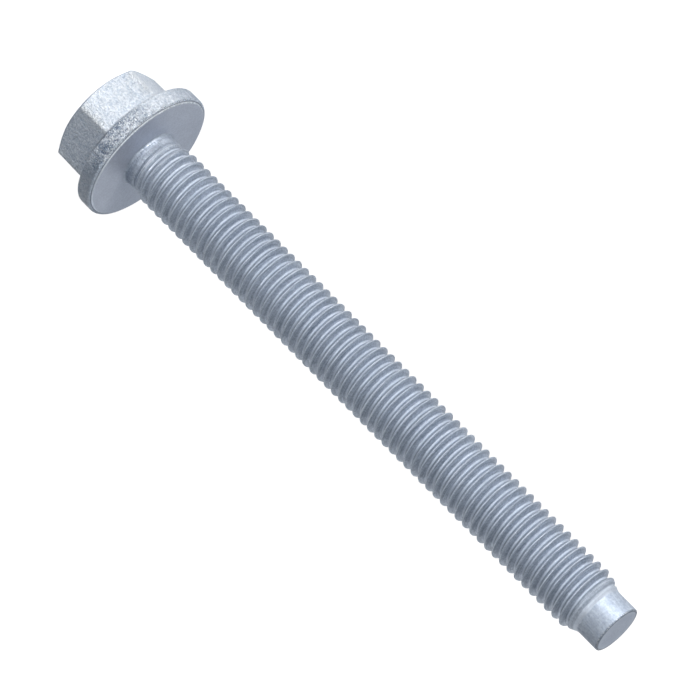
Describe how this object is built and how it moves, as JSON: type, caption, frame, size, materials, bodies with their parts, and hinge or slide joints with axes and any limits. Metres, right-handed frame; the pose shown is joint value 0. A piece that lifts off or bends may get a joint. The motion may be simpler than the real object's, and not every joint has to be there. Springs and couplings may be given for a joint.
{
  "type": "hex flange bolt",
  "caption": "Long hex flange bolt with a smooth bearing face, thread over nearly its whole shank and a dog point.",
  "frame": {"origin": "centre of the head's free face, on which the bolt stands", "axes": "+Z along the bolt from the head to the point; +X through one corner of the hexagon"},
  "size_m": [0.022, 0.022, 0.1072],
  "materials": {
    "zinc_plated_steel": "clear blue-white zinc plating, satin"
  },
  "bodies": {
    "root": {"hex_flange_bolt": "zinc_plated_steel"}
  },
  "joints": []
}
